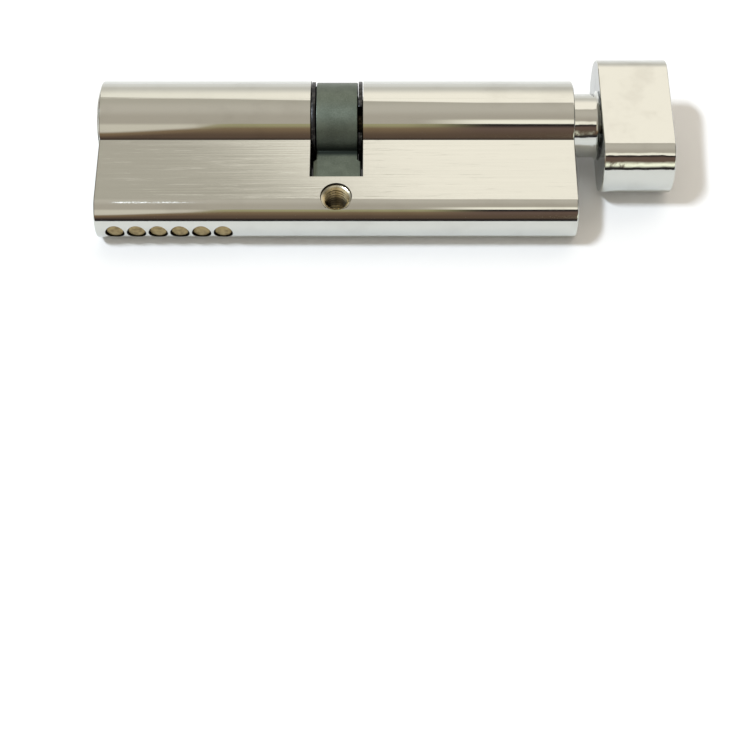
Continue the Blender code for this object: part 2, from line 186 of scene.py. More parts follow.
bpy.ops.mesh.primitive_cylinder_add(
    vertices=96, radius=TENT_RADIUS, depth=TENT_LENGTH, end_fill_type="NOTHING", rotation=ALONG_X
)
tent = bpy.context.object
tent.name = "light_tent"
bpy.ops.object.transform_apply(location=True, rotation=True, scale=True)
bpy.ops.object.mode_set(mode="EDIT")
bpy.ops.mesh.select_all(action="SELECT")
bpy.ops.mesh.bisect(plane_co=(0, 0, TENT_FOOT), plane_no=(0, 0, 1), clear_inner=True)
bpy.ops.object.mode_set(mode="OBJECT")
tent.visible_camera = False
tent.visible_shadow = False
print("tent of", len(tent.data.polygons), "panels")

# %% [markdown]
# The tent is painted by direction. `turn` goes over the cylinder, from the back wall at -90 degrees
# through straight up at 0 to the front at 90, and `askew` grows from the left end to the right. From back
# to front there are a pale wall, a warm lit strip, a dimmer ceiling and a dark front on the camera's
# side. The strip's border runs askew, the ceiling glows a little at the left, and a bright line closes it
# at the right, so the long reflections in the plate change from end to end as they do in a real room. Far
# out at the sides the ceiling is dark grey, and so is the right end of the wall and the strip.

# %% Paint the back of the tent
WALL = rgb(1.0, 0.98, 0.94)
WALL_SHADE = rgb(0.84, 0.80, 0.73)
STRIP_LEFT = rgb(1.24, 1.17, 1.03)
STRIP_RIGHT = rgb(1.40, 1.30, 1.15)
CEILING_BACK = rgb(0.635, 0.585, 0.495)
CEILING_TOP = rgb(0.71, 0.65, 0.56)
CEILING_FRONT = rgb(0.60, 0.54, 0.455)
LEFT_GLOW = rgb(0.86, 0.79, 0.67)
BRIGHT_LINE = rgb(1.35, 1.27, 1.10)
SIDE_GREY = rgb(0.25, 0.235, 0.205)
STRIP_EDGE = -15.0
STRIP_SLOPE = 50
STRIP_SHIFT = 19.3
STRIP_BLUR = 1.2

tent_glow = bpy.data.materials.new("tent_glow")
tent_glow.use_nodes = True
tent_glow.node_tree.nodes.clear()
glow = Wire(tent_glow.node_tree)
place = glow.node("TexCoord", output="Object")
parts = glow.node("SeparateXYZ", None, {"Vector": place})
askew = parts.part("X") * (1 / TENT_RADIUS)
turn = glow.sum("ARCTAN2", parts.part("Y") * -1, parts.part("Z")) * (180 / math.pi)
left = (askew * -1).step(0.14, 0.17)
right = askew.step(0.03, 0.10)

back = turn.step(-80, -66).mix(WALL, WALL_SHADE)
strip = askew.step(-0.25, 0.05).mix(STRIP_LEFT, STRIP_RIGHT)
back = turn.step(-64, -38).mix(back, strip)
back = askew.step(0.8, 1.6).mix(back, SIDE_GREY)
ceiling = turn.step(-20, -2).mix(CEILING_BACK, CEILING_TOP)
ceiling = turn.step(4, 24).mix(ceiling, CEILING_FRONT)
ceiling = (left * turn.step(38, 46)).mix(ceiling, LEFT_GLOW)
ceiling = (right * turn.step(28, 34)).mix(ceiling, BRIGHT_LINE)
ceiling = glow.sum("ABSOLUTE", askew).step(0.35, 0.7).mix(ceiling, SIDE_GREY)
strip_edge = glow.sum("MINIMUM", askew * STRIP_SLOPE - STRIP_SHIFT, STRIP_EDGE)
colour = (turn - strip_edge).step(-STRIP_BLUR, STRIP_BLUR).mix(back, ceiling)
print("back wall, strip and ceiling painted")

# %% [markdown]
# The front starts with an olive edge in the middle and a black one at the right, turns brown and ends
# black at the table. At the left its edge is soft and slopes down. One small yellow lamp low at the right
# shows in the knob.

# %% Paint the front of the tent
OLIVE_EDGE = rgb(0.48, 0.44, 0.25)
BROWN_LEFT = rgb(0.29, 0.20, 0.12)
BROWN_RIGHT = rgb(0.19, 0.125, 0.10)
BROWN_LOW = rgb(0.15, 0.10, 0.07)
BLACK = rgb(0.03, 0.025, 0.025)
LOW_LAMP = rgb(1.5, 1.5, 1.2)
FRONT_EDGE = 41
LEFT_DROP = 10
FAR_LEFT_DROP = 13
FRONT_BLUR = 0.8
LEFT_BLUR = 3

front_edge = left * LEFT_DROP + (askew * -1).step(0.14, 0.26) * FAR_LEFT_DROP + FRONT_EDGE
softness = left * LEFT_BLUR + FRONT_BLUR
brown = right.mix(BROWN_LEFT, BROWN_RIGHT)
first = left.mix(right.mix(OLIVE_EDGE, BLACK), BROWN_LEFT)
front = turn.step(50, 72).mix(brown, BROWN_LOW)
front = (turn - front_edge).step(3, 13).mix(first, front)
front = (askew.step(0.188, 0.212) * turn.step(61, 73)).mix(front, LOW_LAMP)
front = turn.step(74, 84).mix(front, BLACK)
colour = (turn - front_edge).step(softness * -1, softness).mix(colour, front)
emission = glow.node("Emission", None, {"Color": colour, "Strength": 1.0})
output = tent_glow.node_tree.nodes.new("ShaderNodeOutputMaterial")
tent_glow.node_tree.links.new(emission.socket, output.inputs["Surface"])
tent.data.materials.append(tent_glow)
print("front painted")

# %% [markdown]
# ## Floor
#
# The cylinder lies on a white table. A white table in a bright photograph shows only part of its shading,
# so a small share of plain white is mixed in for the camera and for reflections. The share grows away
# from the piece until all is plain white, and the table has no end in sight. The rest is ordinary paint,
# which keeps the shadow.

# %% Lay the floor
FLOOR_SIZE = 12.0
FLOOR_PAINT = rgb(0.95, 0.95, 0.95)
FLOOR_ROUGHNESS = 0.7
FLOOR_GLOSS = 0.2
FLOOR_WHITE = 0.05
FLOOR_FADE = (0.25, 0.6)

bpy.ops.mesh.primitive_plane_add(size=FLOOR_SIZE)
floor = bpy.context.object
floor.name = "table_top"
table_white = bpy.data.materials.new("table_white")
table_white.use_nodes = True
table_shader = table_white.node_tree.nodes["Principled BSDF"]
table_shader.inputs["Base Color"].default_value = FLOOR_PAINT
table_shader.inputs["Roughness"].default_value = FLOOR_ROUGHNESS
table_shader.inputs["Specular IOR Level"].default_value = FLOOR_GLOSS
wire = Wire(table_white.node_tree)
rays = wire.node("LightPath")
seen = rays.part("Is Camera Ray") + rays.part("Is Glossy Ray") + rays.part("Is Transmission Ray")
white = wire.node("Emission", None, {"Color": rgb(1, 1, 1), "Strength": 1.0})
painted = Wire(table_white.node_tree, table_shader.outputs["BSDF"])
spot = wire.node("TexCoord", output="Object")
from_piece = wire.node("VectorMath", {"operation": "LENGTH"}, {0: spot}, "Value")
share = from_piece.step(*FLOOR_FADE) * (1 - FLOOR_WHITE) + FLOOR_WHITE
shares = {0: wire.sum("MINIMUM", seen, 1.0) * share, 1: painted, 2: white}
mixed = wire.node("MixShader", None, shares)
wire.feed(table_white.node_tree.nodes["Material Output"].inputs["Surface"], mixed)
floor.data.materials.append(table_white)
print(f"floor of {FLOOR_SIZE:.0f} m laid")

# %% [markdown]
# ## Key light
#
# The warm tent gives less than half of the light on the table, and one cool lamp at the upper left gives
# the rest, so that white comes out neutral. The lamp is a box, longer across the plug axis than along it.
# It throws the shadow to the right of the knob and shows as white glints on rounded edges. The world
# outside is plain white.

# %% Hang the key light
KEY_FROM = Vector((-0.585, -0.16, 1.0)).normalized()
KEY_DISTANCE = 2.0
KEY_SIZE = (0.45, 0.15)
KEY_SHARE = 0.66
KEY_COLOUR = (0.833, 0.909, 1.0)

bpy.ops.object.light_add(type="AREA")
key_light = bpy.context.object
key_light.location = KEY_DISTANCE * KEY_FROM
key_light.rotation_euler = KEY_FROM.to_track_quat("Z", "Y").to_euler()
key_light.data.shape = "RECTANGLE"
key_light.data.size = KEY_SIZE[0]
key_light.data.size_y = KEY_SIZE[1]
key_light.data.energy = KEY_SHARE * (math.pi * KEY_DISTANCE) ** 2 / KEY_FROM.z
key_light.data.color = KEY_COLOUR

world = bpy.data.worlds.new("white_room")
world.use_nodes = True
world.node_tree.nodes["Background"].inputs["Color"].default_value = rgb(1, 1, 1)
bpy.context.scene.world = world
print(f"key light of {key_light.data.energy:.1f} W")

# %% [markdown]
# ## A start for every finish
#
# Every finish here is a metal shader with three things fed into it: a colour, a roughness and a fine
# relief. Noise makes them vary over the piece. It is read in the profile's own frame, so its lumps can be
# stretched along the plug axis as a tool stretches its marks, and it stays on the piece when the piece
# moves.


# %% Helpers for finishes
def finish(name, metallic=1.0):
    """A new material and a wire to start its sums from."""
    material = bpy.data.materials.new(name)
    material.use_nodes = True
    material.node_tree.nodes["Principled BSDF"].inputs["Metallic"].default_value = metallic
    return material, Wire(material.node_tree)


def dress(wire, colour, roughness, height=None, depth=0.0):
    """Feeds in a colour, a roughness and a height of 0 to 1 that stands for this depth in metres."""
    sockets = wire.tree.nodes["Principled BSDF"].inputs
    wire.feed(sockets["Base Color"], colour)
    wire.feed(sockets["Roughness"], roughness)
    if height is not None:
        relief = {"Height": height, "Strength": 1.0, "Distance": depth}
        wire.feed(sockets["Normal"], wire.node("Bump", None, relief))


def profile_place(wire):
    """Where a point is in the profile's own frame."""
    place = wire.node("TexCoord", output="Object")
    moved = {"Vector": place, "Location": PLUG_AXIS, "Rotation": (LEAN, 0, 0)}
    return wire.node("Mapping", {"vector_type": "TEXTURE"}, moved)


def profile_parts(wire):
    """The same place, split into X, Y and Z."""
    return wire.node("SeparateXYZ", None, {"Vector": profile_place(wire)})


def distance(first, second):
    """How far a point is from an axis, from its two coordinates across that axis."""
    return first.sum("SQRT", first * first + second * second)


def grain(wire, size, detail):
    """Noise whose lumps are about this long along the profile's X, Y and Z, in millimetres."""
    fine = {"Vector": profile_place(wire), "Scale": tuple(1 / (length * MM) for length in size)}
    spread = wire.node("Mapping", {"vector_type": "POINT"}, fine)
    return wire.node("TexNoise", None, {"Vector": spread, "Scale": 1.0, "Detail": detail})


print("finish helpers ready")

# %% [markdown]
# ## Bright plate
#
# The body, plugs and knob are brass with a bright plated skin. The barrel is polished, so its plate is
# nearly a mirror: what makes it look real is a breath of haze and a slight waviness left by the polishing
# wheel. Both are noise, stretched along the plug axis. At the key end, just below the edge of each flat,
# the plate is worn: a thin line of rough flecks that glints towards the lamp.

# %% Polished plate
PLATE = rgb(0.61, 0.625, 0.595)
PLATE_HAZY = rgb(0.56, 0.57, 0.54)
WORN_LOW = -21.10 * MM
WORN_HIGH = -20.65 * MM
WORN_FADE = 0.15 * MM
WORN_START = (-43 * MM, -40 * MM)
WORN_END = (-32 * MM, -20 * MM)

polished_plate, wire = finish("polished_plate")
haze = grain(wire, (9, 6, 6), 3.0).step(0.45, 0.75)
waves = grain(wire, (14, 2.2, 2.2), 1.0)
flecks = grain(wire, (0.4, 0.09, 0.09), 3.0).step(0.40, 0.55)
place = profile_parts(wire)
height = place.part("Y")
along = place.part("X")
band = height.step(WORN_LOW, WORN_LOW + WORN_FADE) * (1 - height.step(WORN_HIGH - WORN_FADE, WORN_HIGH))
ends = along.step(*WORN_START) * (1 - along.step(*WORN_END))
worn = band * ends * flecks
dress(wire, haze.mix(PLATE, PLATE_HAZY), 0.055 + haze * 0.035 + worn * 0.30, waves, 0.006 * MM)
print("polished plate ready")

# %% [markdown]
# The knob and its neck are die castings. A casting's skin shrinks unevenly as it cools, and plate follows
# it, so straight reflections come out wavy. Two sizes of lump do that: broad ones that bend the lines and
# fine ones that break up their edges. The knob's two flats were polished on a belt and are calmer. Its
# back face, next to the neck, was out of the belt's reach and is rougher, and its colour is darkened as
# painted shade.

# %% Cast plate
PLATE_SHADED = rgb(0.28, 0.30, 0.30)
PLATE_SHADED_DEEP = rgb(0.24, 0.26, 0.26)
KNOB_FLATS = (5.8 * MM, 6.9 * MM)

cast_plate, wire = finish("cast_plate")
haze = grain(wire, (5, 5, 5), 3.0).step(0.45, 0.75)
broad = grain(wire, (2.6, 2.6, 2.6), 1.0)
peel = grain(wire, (0.35, 0.35, 0.35), 2.0)
flat = wire.sum("ABSOLUTE", profile_parts(wire).part("Z")).step(*KNOB_FLATS)
lumps = (broad + peel * 0.06) * (1 - flat * 0.65)
dress(wire, haze.mix(PLATE, PLATE_HAZY), 0.06 + haze * 0.04, lumps, 0.055 * MM)

# Back face of the knob: a rougher plate, its colour darkened as painted shade.
dull_shaded_plate, wire = finish("dull_shaded_plate")
haze = grain(wire, (5, 5, 5), 3.0).step(0.45, 0.75)
dress(wire, haze.mix(PLATE_SHADED, PLATE_SHADED_DEEP), 0.13 + haze * 0.05)
print("cast plate and dull plate ready")

# %% [markdown]
# ## Brushed plate
#
# The two flats of the tail were ground along their length before plating, and the plate keeps the
# scratches. Long thin noise makes them: a streak is a tenth of a millimetre wide or so and some tens of
# millimetres long. They tilt the surface a little and change how sharply it mirrors, so the flats glow
# softly from end to end instead of showing a picture of the room.

# %% Brushed plate
PLATE_STREAK = rgb(0.585, 0.60, 0.57)

brushed_plate, wire = finish("brushed_plate")
streaks = grain(wire, (40, 0.16, 0.16), 3.0)
broad = grain(wire, (60, 1.2, 1.2), 2.0)
nicks = grain(wire, (7, 0.3, 0.3), 3.0).step(0.58, 0.75)
colour = streaks.step(0.35, 0.7).mix(PLATE_STREAK, PLATE)
roughness = 0.09 + streaks.step(0.3, 0.7) * 0.04 + broad.step(0.4, 0.7) * 0.03 + nicks * 0.06
dress(wire, colour, roughness, streaks + nicks * 0.5, 0.008 * MM)
print("brushed plate ready")

# %% [markdown]
# ## Turned plate
#
# End faces were cut on a lathe, which leaves fine rings about the axis. A ring pattern needs only the
# distance from the plug axis: its sine gives the tool's even feed, and noise breaks the rings up.

# %% Turned plate
RING_PITCH = 0.12 * MM

turned_plate, wire = finish("turned_plate")
place = profile_parts(wire)
radius = distance(place.part("Y"), place.part("Z"))
rings = wire.sum("SINE", radius * (2 * math.pi / RING_PITCH)) * 0.5 + 0.5
patches = grain(wire, (3, 3, 3), 2.0)
colour = patches.step(0.4, 0.7).mix(PLATE, PLATE_HAZY)
dress(wire, colour, 0.14 + patches.step(0.35, 0.7) * 0.10, rings * patches, 0.0035 * MM)
print("turned plate ready")

# %% [markdown]
# ## Bare brass
#
# Pins, stoppers and what was cut after plating show the brass itself: yellow where a tool has just
# passed, browner where it has dulled. Inside the bore, the slot and the other holes it is painted near
# black: painted shade.

# %% Bare brass
BRASS_FRESH = rgb(0.36, 0.28, 0.135)
BRASS_DULL = rgb(0.24, 0.18, 0.088)
BRASS_CUT = rgb(0.66, 0.55, 0.33)
BRASS_SHADE_DARK = rgb(0.022, 0.019, 0.015)
BRASS_SHADE = rgb(0.08, 0.066, 0.042)

bare_brass, wire = finish("bare_brass")
dulling = grain(wire, (0.9, 0.9, 0.9), 4.0).step(0.35, 0.7)
pits = grain(wire, (0.12, 0.12, 0.12), 2.0)
dress(wire, dulling.mix(BRASS_FRESH, BRASS_DULL), 0.34 + dulling * 0.14, pits, 0.002 * MM)

cut_brass, wire = finish("cut_brass")
chatter = grain(wire, (0.6, 0.6, 0.6), 3.0)
colour = chatter.step(0.35, 0.75).mix(BRASS_CUT, BRASS_FRESH)
dress(wire, colour, 0.16 + chatter * 0.12, chatter, 0.001 * MM)

# Painted shade: near-black brass for the walls inside bores, slots and drilled holes.
painted_shade_brass, wire = finish("painted_shade_brass")
shade_mottle = grain(wire, (0.7, 0.5, 0.5), 4.0)
dress(wire, shade_mottle.step(0.35, 0.75).mix(BRASS_SHADE_DARK, BRASS_SHADE), 0.35 + shade_mottle * 0.2, shade_mottle, 0.01 * MM)
print("bare, cut and greased brass ready")

# %% [markdown]
# ## Dark metals
#
# The cam is pressed and sintered from iron powder and then phosphated: matte, dark and finely speckled,
# with painted shade darkening the corners where its lug leaves the ring. The clips, the coupling and the
# set screw are blackened steel with a little shine. The springs are bright drawn wire with faint marks
# along it.

# %% Dark iron, black steel and drawn wire
IRON_DARK = rgb(0.095, 0.116, 0.094)
IRON_PALE = rgb(0.172, 0.204, 0.168)
IRON_CORNER_SHADE = rgb(0.022, 0.030, 0.025)
CORNER_UP = 2.3 * MM
CORNER_OUT = 7.9 * MM
CORNER_SHADE_REACH = (0.3 * MM, 1.3 * MM)
STEEL_DARK = rgb(0.035, 0.036, 0.038)
STEEL_WORN = rgb(0.13, 0.13, 0.128)
WIRE_BRIGHT = rgb(0.58, 0.58, 0.59)
WIRE_DULL = rgb(0.40, 0.40, 0.41)

phosphated_iron, wire = finish("phosphated_iron", 0.85)
powder = grain(wire, (0.16, 0.16, 0.16), 4.0)
clouds = grain(wire, (2.5, 2.5, 2.5), 3.0)
tone = powder.step(0.35, 0.75) * 0.6 + clouds.step(0.3, 0.8) * 0.4
place = profile_parts(wire)
# Painted shade: the colour goes near black in the corners where the lug leaves the ring.
up = (wire.sum("ABSOLUTE", place.part("Z")) - CORNER_UP) * 0.5
out = place.part("Y") + CORNER_OUT
corner_shade = 1 - distance(up, out).step(*CORNER_SHADE_REACH)
colour = corner_shade.mix(tone.mix(IRON_DARK, IRON_PALE), IRON_CORNER_SHADE)
dress(wire, colour, 0.34 + powder * 0.18 + corner_shade * 0.2, powder, 0.012 * MM)

blackened_steel, wire = finish("blackened_steel")
wear = grain(wire, (1.2, 0.6, 0.6), 4.0)
dress(wire, wear.step(0.45, 0.8).mix(STEEL_DARK, STEEL_WORN), 0.28 + wear * 0.2, wear, 0.01 * MM)

drawn_wire, wire = finish("drawn_wire")
marks = grain(wire, (0.5, 0.08, 0.5), 2.0)
dress(wire, marks.step(0.4, 0.7).mix(WIRE_BRIGHT, WIRE_DULL), 0.2 + marks * 0.15, marks, 0.003 * MM)
print("dark iron, black steel and drawn wire ready")

# %% [markdown]
# ## Drawing an outline
#
# Most of these pieces are an outline pushed along the plug axis or turned about it. An outline starts as
# one point. Extruding that point draws a straight line, and spinning it draws an arc, which is how a
# draughtsman sets out the same profile with a rule and a compass.


# %% Helpers that draw outlines
def start_outline(name, x, y, z=0.0):
    """A new piece of one point, in edit mode."""
    bpy.ops.mesh.primitive_plane_add(size=MM)
    piece = bpy.context.object
    piece.name = name
    piece.data.name = name
    bpy.ops.object.mode_set(mode="EDIT")
    bpy.ops.mesh.select_mode(type="VERT")
    bpy.ops.mesh.select_all(action="SELECT")
    bpy.ops.mesh.merge(type="CENTER")
    bpy.ops.transform.translate(value=(x, y, z))
    return piece


def line_by(x, y, z=0.0):
    bpy.ops.mesh.extrude_region_move(TRANSFORM_OT_translate={"value": (x, y, z)})


def arc_by(turn, steps, y=0.0, z=0.0):
    """Swings the last point about an axis along X. A positive turn takes +Y towards +Z."""
    bpy.ops.mesh.spin(steps=steps, angle=-turn, center=(0, y, z), axis=(1, 0, 0))


print("outline helpers ready")

# %% [markdown]
# A closed outline is filled and pushed out along the plug axis, which makes a solid. No real rim is quite
# sharp, so the edges at an end are then picked by where they lie, and rounded.

# %% Helpers that make solids
WELD = 0.0005 * MM


def weld(threshold=WELD):
    """Merges points that lie in the same place."""
    bpy.ops.mesh.select_all(action="SELECT")
    bpy.ops.mesh.remove_doubles(threshold=threshold)


def face_outwards():
    bpy.ops.mesh.select_all(action="SELECT")
    bpy.ops.mesh.normals_make_consistent(inside=False)


def push_out(length):
    """Fills the outline and pushes it along X into a solid."""
    weld()
    bpy.ops.mesh.edge_face_add()
    bpy.ops.mesh.extrude_region_move(TRANSFORM_OT_translate={"value": (length, 0, 0)})
    face_outwards()


def pick(piece, kind, wanted):
    """Selects the points that pass a test, or the edges whose ends both pass it, in edit mode."""
    bpy.ops.object.mode_set(mode="EDIT")
    bpy.ops.mesh.select_mode(type=kind)
    bpy.ops.mesh.select_all(action="DESELECT")
    bpy.ops.object.mode_set(mode="OBJECT")
    points = piece.data.vertices
    if kind == "VERT":
        for point in points:
            point.select = wanted(point.co)
    else:
        for edge in piece.data.edges:
            edge.select = all(wanted(points[end].co) for end in edge.vertices)
    bpy.ops.object.mode_set(mode="EDIT")


def round_ends(piece, start, end, radius, segments=4):
    """Rounds the rims at both ends of a pushed-out piece."""
    for x in (start, end):
        pick(piece, "EDGE", lambda co: abs(co.x - x) < WELD)
        bpy.ops.mesh.bevel(offset=radius, segments=segments, affect="EDGES")
    bpy.ops.object.mode_set(mode="OBJECT")


print("solid helpers ready")

# %% [markdown]
# ## Turning and cutting
#
# Plugs, pins and holes are round, so each is a half outline turned once about the X axis. The piece is
# then stood where it belongs.


# %% Helpers that turn and stand
def turned(name, corners, steps, softness=0.0):
    """A closed solid turned about X from (x, radius) corners, which are softened by this radius."""
    x, radius = corners[0]
    piece = start_outline(name, x, 0.0)
    line_by(0, radius)
    for (from_x, from_radius), (to_x, to_radius) in zip(corners, corners[1:]):
        line_by(to_x - from_x, to_radius - from_radius)
    line_by(0, -corners[-1][1])
    if softness:
        pick(piece, "VERT", lambda co: co.y > WELD)
        bpy.ops.mesh.bevel(offset=softness, segments=3, affect="VERTICES")
    bpy.ops.mesh.select_all(action="SELECT")
    bpy.ops.mesh.spin(steps=steps, angle=2 * math.pi, center=(0, 0, 0), axis=(1, 0, 0), use_auto_merge=True)
    weld()
    face_outwards()
    bpy.ops.object.mode_set(mode="OBJECT")
    return piece


def rod(name, ends, radius, steps, softness=0.0):
    """A plain round bar about X between two ends."""
    return turned(name, [(ends[0], radius), (ends[1], radius)], steps, softness)


def choose(piece):
    """Makes this the active piece, and the only one that is selected."""
    bpy.ops.object.select_all(action="DESELECT")
    piece.select_set(True)
    bpy.context.view_layer.objects.active = piece


def stand(piece, x, y=0.0, z=0.0, turn=(0, 0, 0)):
    """Turns a piece and moves it to its place in the profile's frame."""
    choose(piece)
    piece.rotation_euler = turn
    piece.location = (x, y, z)
    bpy.ops.object.transform_apply(location=True, rotation=True, scale=True)
    return piece


print("turning helpers ready")

# %% [markdown]
# Holes are cut with a solid of the hole's own shape and an exact boolean. The cutter is coated first,
# because the cut faces take its finish, as a drill leaves bare metal behind it.


# %% Helpers that coat and cut
def coat(piece, *materials):
    """Adds finishes to a piece. The first one shows until faces are given another."""
    for material in materials:
        piece.data.materials.append(material)


def cut(piece, cutter, material):
    """Takes a cutter's shape out of a piece. The new faces take this material."""
    coat(cutter, material)
    modifier = piece.modifiers.new("cut", "BOOLEAN")
    modifier.object = cutter
    modifier.operation = "DIFFERENCE"
    modifier.solver = "EXACT"
    modifier.material_mode = "TRANSFER"
    choose(piece)
    bpy.ops.object.modifier_apply(modifier=modifier.name)
    bpy.data.objects.remove(cutter)


def block(name, low, high):
    """A box between two corners."""
    piece = start_outline(name, low[0], low[1], low[2])
    line_by(0, high[1] - low[1])
    line_by(0, 0, high[2] - low[2])
    line_by(0, low[1] - high[1])
    push_out(high[0] - low[0])
    bpy.ops.object.mode_set(mode="OBJECT")
    return piece


print("cutting helpers ready")

# %% [markdown]
# ## Seating
#
# Once a piece is done it is laid down on the table, shaded smooth up to its sharp edges, joined to the
# body that carries it, and the plain solid it stands for is hidden.

# %% A helper that seats a piece
SMOOTH_BELOW = math.radians(32)


def seat(piece, body, node, turn=0.0):
    """Lays a finished piece down on the table and lets it stand for a node of the frame."""
    stand(piece, *PLUG_AXIS, turn=(LEAN + turn, 0, 0))
    bpy.ops.object.shade_smooth_by_angle(angle=SMOOTH_BELOW)
    weighted = piece.modifiers.new("weighted", "WEIGHTED_NORMAL")
    weighted.keep_sharp = True
    bpy.ops.object.modifier_apply(modifier=weighted.name)
    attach(piece, body)
    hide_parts(node)
    print(f"{piece.name}: {len(piece.data.polygons)} faces for {node} on {body}")


print("seating helper ready")

# %% [markdown]
# ## Body
#
# The profile is a round barrel with a flat-sided tail that ends in a smaller round. Its outline is four
# strokes: an arc for the barrel, a flat, an arc for the tail's end and, by filling, the other flat.
# Pushed out to its length, with the rims softened as a tumbler leaves them, it is the blank that the
# maker starts from.

# %% Push out the body's blank
HALF_LENGTH = 45.0 * MM
BARREL_RADIUS = PLUG_AXIS.z
TAIL_HALF = 4.95 * MM
TAIL_END_RADIUS = 5.0 * MM
TAIL_CENTRE = 19.5 * MM
END_ROUND = 0.3 * MM
FLAT_FACING = 0.9999

barrel_reach = math.pi - math.asin(TAIL_HALF / BARREL_RADIUS)
tail_reach = math.asin(TAIL_HALF / TAIL_END_RADIUS)
junction = BARREL_RADIUS * math.cos(barrel_reach)
tail_edge = -TAIL_CENTRE - TAIL_END_RADIUS * math.cos(tail_reach)
body = start_outline("body_shell", -HALF_LENGTH, junction, -TAIL_HALF)
arc_by(2 * barrel_reach, 160)
line_by(0, tail_edge - junction)
arc_by(2 * tail_reach, 64, -TAIL_CENTRE)
push_out(2 * HALF_LENGTH)
round_ends(body, -HALF_LENGTH, HALF_LENGTH, END_ROUND)
coat(body, polished_plate, brushed_plate, turned_plate)
for face in body.data.polygons:
    if abs(face.normal.z) > FLAT_FACING:
        face.material_index = 1
    elif abs(face.normal.x) > FLAT_FACING:
        face.material_index = 2
print("blank:", [round(side / MM, 2) for side in body.dimensions], "mm")

# %% [markdown]
# Three cuts make it a cylinder body: a bore for the plugs, wider at each end for their heads, a slot
# across the middle for the cam, and six chambers drilled up from the tail for the pin stacks, a little
# wider at the mouth.

# %% Bore, slot and chambers
BORE_RADIUS = 6.6 * MM
HEAD_BORE_RADIUS = 7.3 * MM
HEAD_BORE_DEPTH = 1.6 * MM
SLOT_HALF = 5.0 * MM
SLOT_DEPTH = 15.2 * MM
PIN_COUNT = 6
PIN_PITCH = 4.05 * MM
FIRST_PIN = -41.35 * MM
CHAMBER_RADIUS = 1.7 * MM
CHAMBER_MOUTH = 23.3 * MM
CHAMBER_MOUTH_RADIUS = 1.8 * MM
DRILL_END = 33 * MM
PAST = 3.0 * MM
PIN_PLACES = [FIRST_PIN + number * PIN_PITCH for number in range(PIN_COUNT)]
DOWN_THE_TAIL = (0, 0, -math.pi / 2)

far = HALF_LENGTH + PAST
seat_x = HALF_LENGTH - HEAD_BORE_DEPTH
bore_corners = [
    (-far, HEAD_BORE_RADIUS),
    (-seat_x, HEAD_BORE_RADIUS),
    (-seat_x, BORE_RADIUS),
    (seat_x, BORE_RADIUS),
    (seat_x, HEAD_BORE_RADIUS),
    (far, HEAD_BORE_RADIUS),
]
cut(body, turned("bore_cutter", bore_corners, 128), painted_shade_brass)
slot_low = (-SLOT_HALF, -SLOT_DEPTH, -BARREL_RADIUS - PAST)
slot_high = (SLOT_HALF, BARREL_RADIUS + PAST, BARREL_RADIUS + PAST)
cut(body, block("slot_cutter", slot_low, slot_high), painted_shade_brass)
drill_corners = [
    (0, CHAMBER_RADIUS),
    (CHAMBER_MOUTH, CHAMBER_RADIUS),
    (CHAMBER_MOUTH, CHAMBER_MOUTH_RADIUS),
    (DRILL_END, CHAMBER_MOUTH_RADIUS),
]
for x in PIN_PLACES:
    drill = turned("chamber_drill", drill_corners, 64)
    cut(body, stand(drill, x, turn=DOWN_THE_TAIL), painted_shade_brass)
print("body after boring:", len(body.data.polygons), "faces")

# %% [markdown]
# ## Fixing screw hole
#
# A long M5 screw through the door's edge holds the cylinder. Its hole goes across the tail below the cam.
# It was sunk and tapped after plating, so it shows bare brass, worn pale at the mouth, with painted
# shade in the thread's roots and further down. The finish needs only a point's distance from the hole's
# axis and its depth below the flat.

# %% Tapped brass
HOLE_DOWN = 19.6 * MM
BRASS_WORN = rgb(0.53, 0.50, 0.39)
PALE_MOUTH = (2.35 * MM, 2.6 * MM)
ROOT_SHADE = (2.12 * MM, 2.40 * MM)
ROOT_START = (1.0 * MM, 1.2 * MM)
DEEP_SHADE = (1.8 * MM, 4.5 * MM)

tapped_brass, wire = finish("tapped_brass")
place = profile_parts(wire)
radius = distance(place.part("X"), place.part("Y") + HOLE_DOWN)
depth = TAIL_HALF - wire.sum("ABSOLUTE", place.part("Z"))
# Painted shade: darker in the thread's roots and deeper down the hole.
root_shade = radius.step(*ROOT_SHADE) * depth.step(*ROOT_START)
painted_shade = wire.sum("MAXIMUM", root_shade * 0.8, depth.step(*DEEP_SHADE))
chatter = grain(wire, (0.6, 0.6, 0.6), 3.0)
brass = chatter.step(0.45, 0.85).mix(BRASS_CUT, BRASS_FRESH)
brass = radius.step(*PALE_MOUTH).mix(brass, BRASS_WORN)
dress(wire, painted_shade.mix(brass, BRASS_SHADE), 0.22 + chatter * 0.12, chatter, 0.001 * MM)
print("tapped brass ready")

# %% [markdown]
# Both ends of the hole are sunk first, with a cutter of the mouth's own shape: a low wall, a shoulder and
# a cone.

# %% Sink the mouths
MOUTH_CORNERS = [(-2.46, 0.001), (-0.78, 2.40), (-0.56, 2.80), (-0.50, 2.95), (2.0, 2.95)]

mouth_corners = [(TAIL_HALF + x * MM, radius * MM) for x, radius in MOUTH_CORNERS]
for side in (-1, 1):
    mouth = stand(turned("mouth", mouth_corners, 96), 0, -HOLE_DOWN, turn=(0, -side * math.pi / 2, 0))
    cut(body, mouth, tapped_brass)
print("body with mouths:", len(body.data.polygons), "faces")

# %% [markdown]
# The tap is modelled as a real one: a single tooth drawn beside the axis, wound up by a Screw modifier,
# and trimmed flat at both ends.

# %% Wind the tap
THREAD_PITCH = 0.8 * MM
THREAD_MINOR = 2.1 * MM
THREAD_MAJOR = 2.5 * MM
TOOTH_FOOT = 0.12
TOOTH_FLANK = 0.34
TOOTH_CREST = 0.2
TAP_REACH = 6.0 * MM
TAP_TURNS = 17
TAP_WELD = 0.002 * MM


